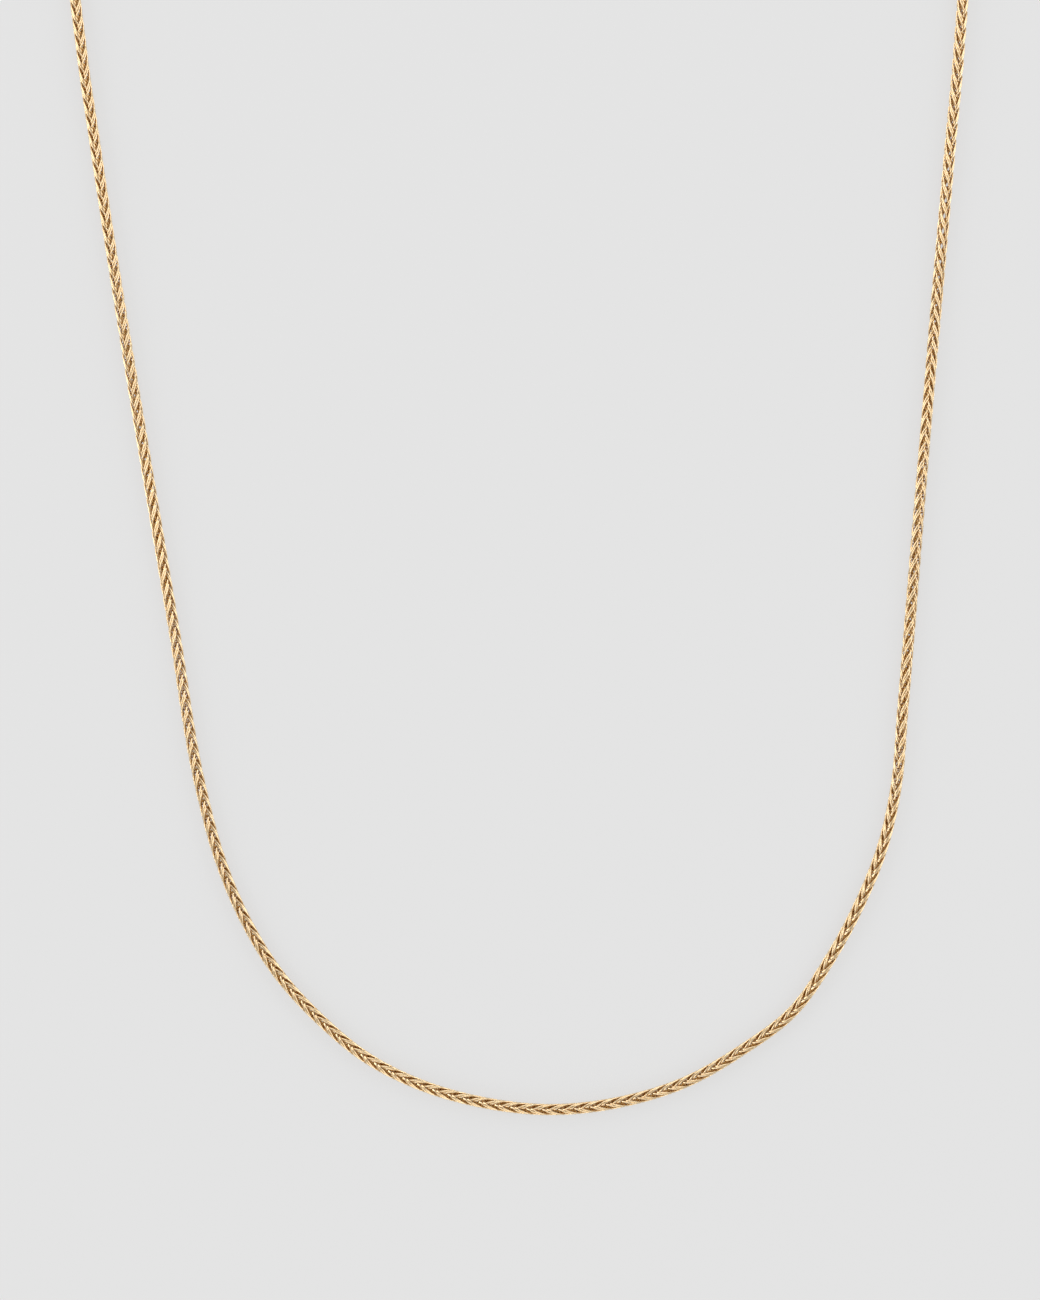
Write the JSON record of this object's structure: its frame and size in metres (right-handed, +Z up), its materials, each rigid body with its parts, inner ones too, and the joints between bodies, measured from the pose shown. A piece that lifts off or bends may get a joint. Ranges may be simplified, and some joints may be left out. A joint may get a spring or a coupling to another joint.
{
  "type": "wheat chain necklace",
  "caption": "Fine gold wheat chain for the neck, a closed loop of interlocked wire links lying flat, with end caps, rings and a plain ring clasp.",
  "frame": {"origin": "middle of the outline, on the surface that the chain lies on", "axes": "+Z up from that surface, +Y along the loop from its lowest bend to the clasp, +X to the right as seen from above"},
  "size_m": [0.1124, 0.1924, 0.0024],
  "materials": {
    "chain_gold": "polished yellow gold wire",
    "fitting_gold": "polished yellow gold"
  },
  "bodies": {
    "root": {"chain": "chain_gold", "end_cap_left": "fitting_gold", "end_cap_right": "fitting_gold", "jump_ring": "fitting_gold", "catch_ring": "fitting_gold", "clasp": "fitting_gold"}
  },
  "joints": []
}
